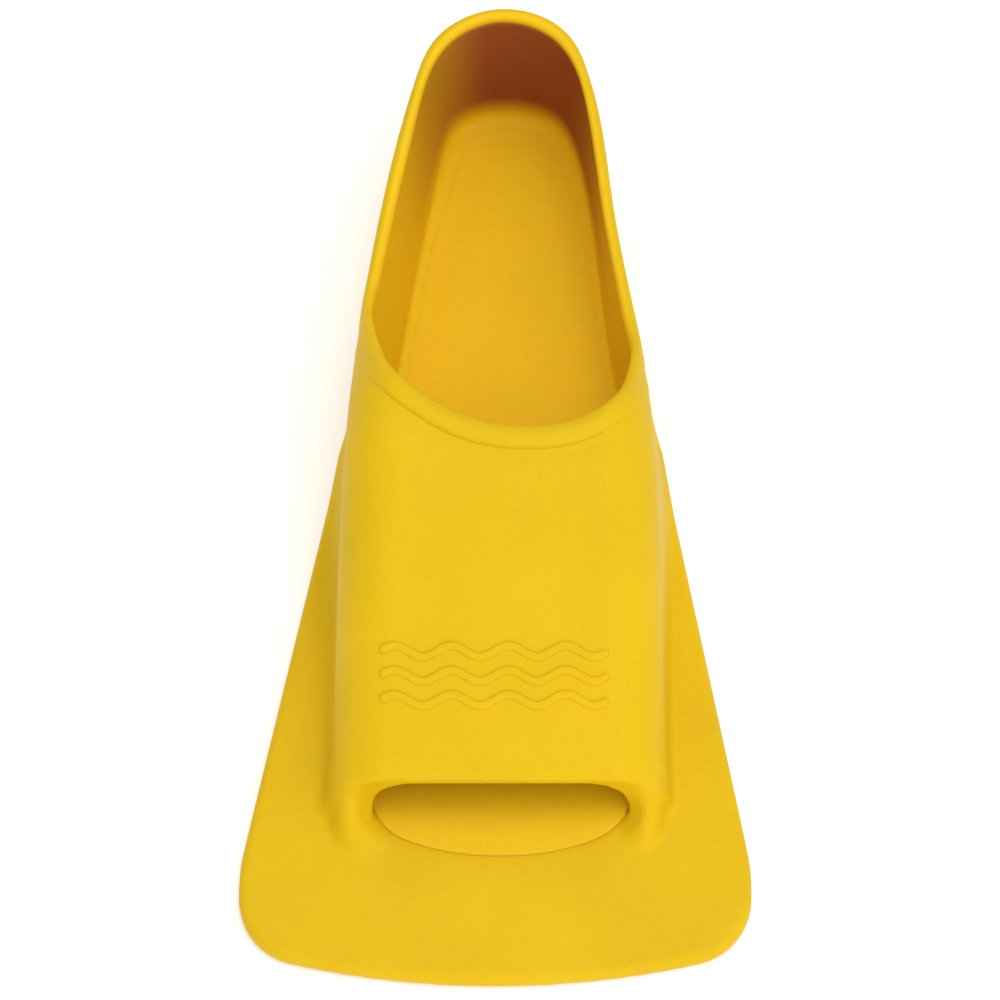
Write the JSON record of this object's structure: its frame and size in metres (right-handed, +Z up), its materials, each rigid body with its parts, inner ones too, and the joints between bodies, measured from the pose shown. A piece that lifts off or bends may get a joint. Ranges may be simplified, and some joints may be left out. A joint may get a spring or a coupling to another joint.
{
  "type": "swim fin",
  "caption": "Full-foot swim fin for the right foot, moulded in yellow rubber, with a short wide blade that flexes, an open toe, side rails and a beaded foot opening.",
  "frame": {"origin": "middle of the fin's length and of the blade's width, on the plane that the sole rests on", "axes": "+Y towards the heel, -Y towards the blade tip, +X to the medial (big toe) side, +Z up through the foot opening"},
  "size_m": [0.1748, 0.3652, 0.0821],
  "materials": {
    "shell": "satin moulded rubber",
    "blade": "satin moulded rubber",
    "footbed": "satin moulded rubber",
    "sole": "satin moulded rubber",
    "badge": "satin moulded rubber"
  },
  "bodies": {
    "foot_pocket": {"outsole": "sole", "footbed": "footbed", "vamp": "shell", "toe_lip": "shell", "side_wall_medial": "shell", "side_wall_lateral": "shell", "heel_cup": "shell", "collar_bead": "shell", "rail_medial": "shell", "rail_lateral": "shell", "blade_root": "blade", "flex_web": "blade", "wave_badge": "badge"},
    "blade": {"blade_tip": "blade"}
  },
  "joints": [
    {"name": "blade_flex", "type": "hinge", "parent": "foot_pocket", "child": "blade", "pos_m": [0, -0.145, 0.0042], "axis": [1, 0, 0], "range_deg": [-25, 25], "stiffness_Nm_per_rad": 1.2, "deforming": ["flex_web"]}
  ]
}
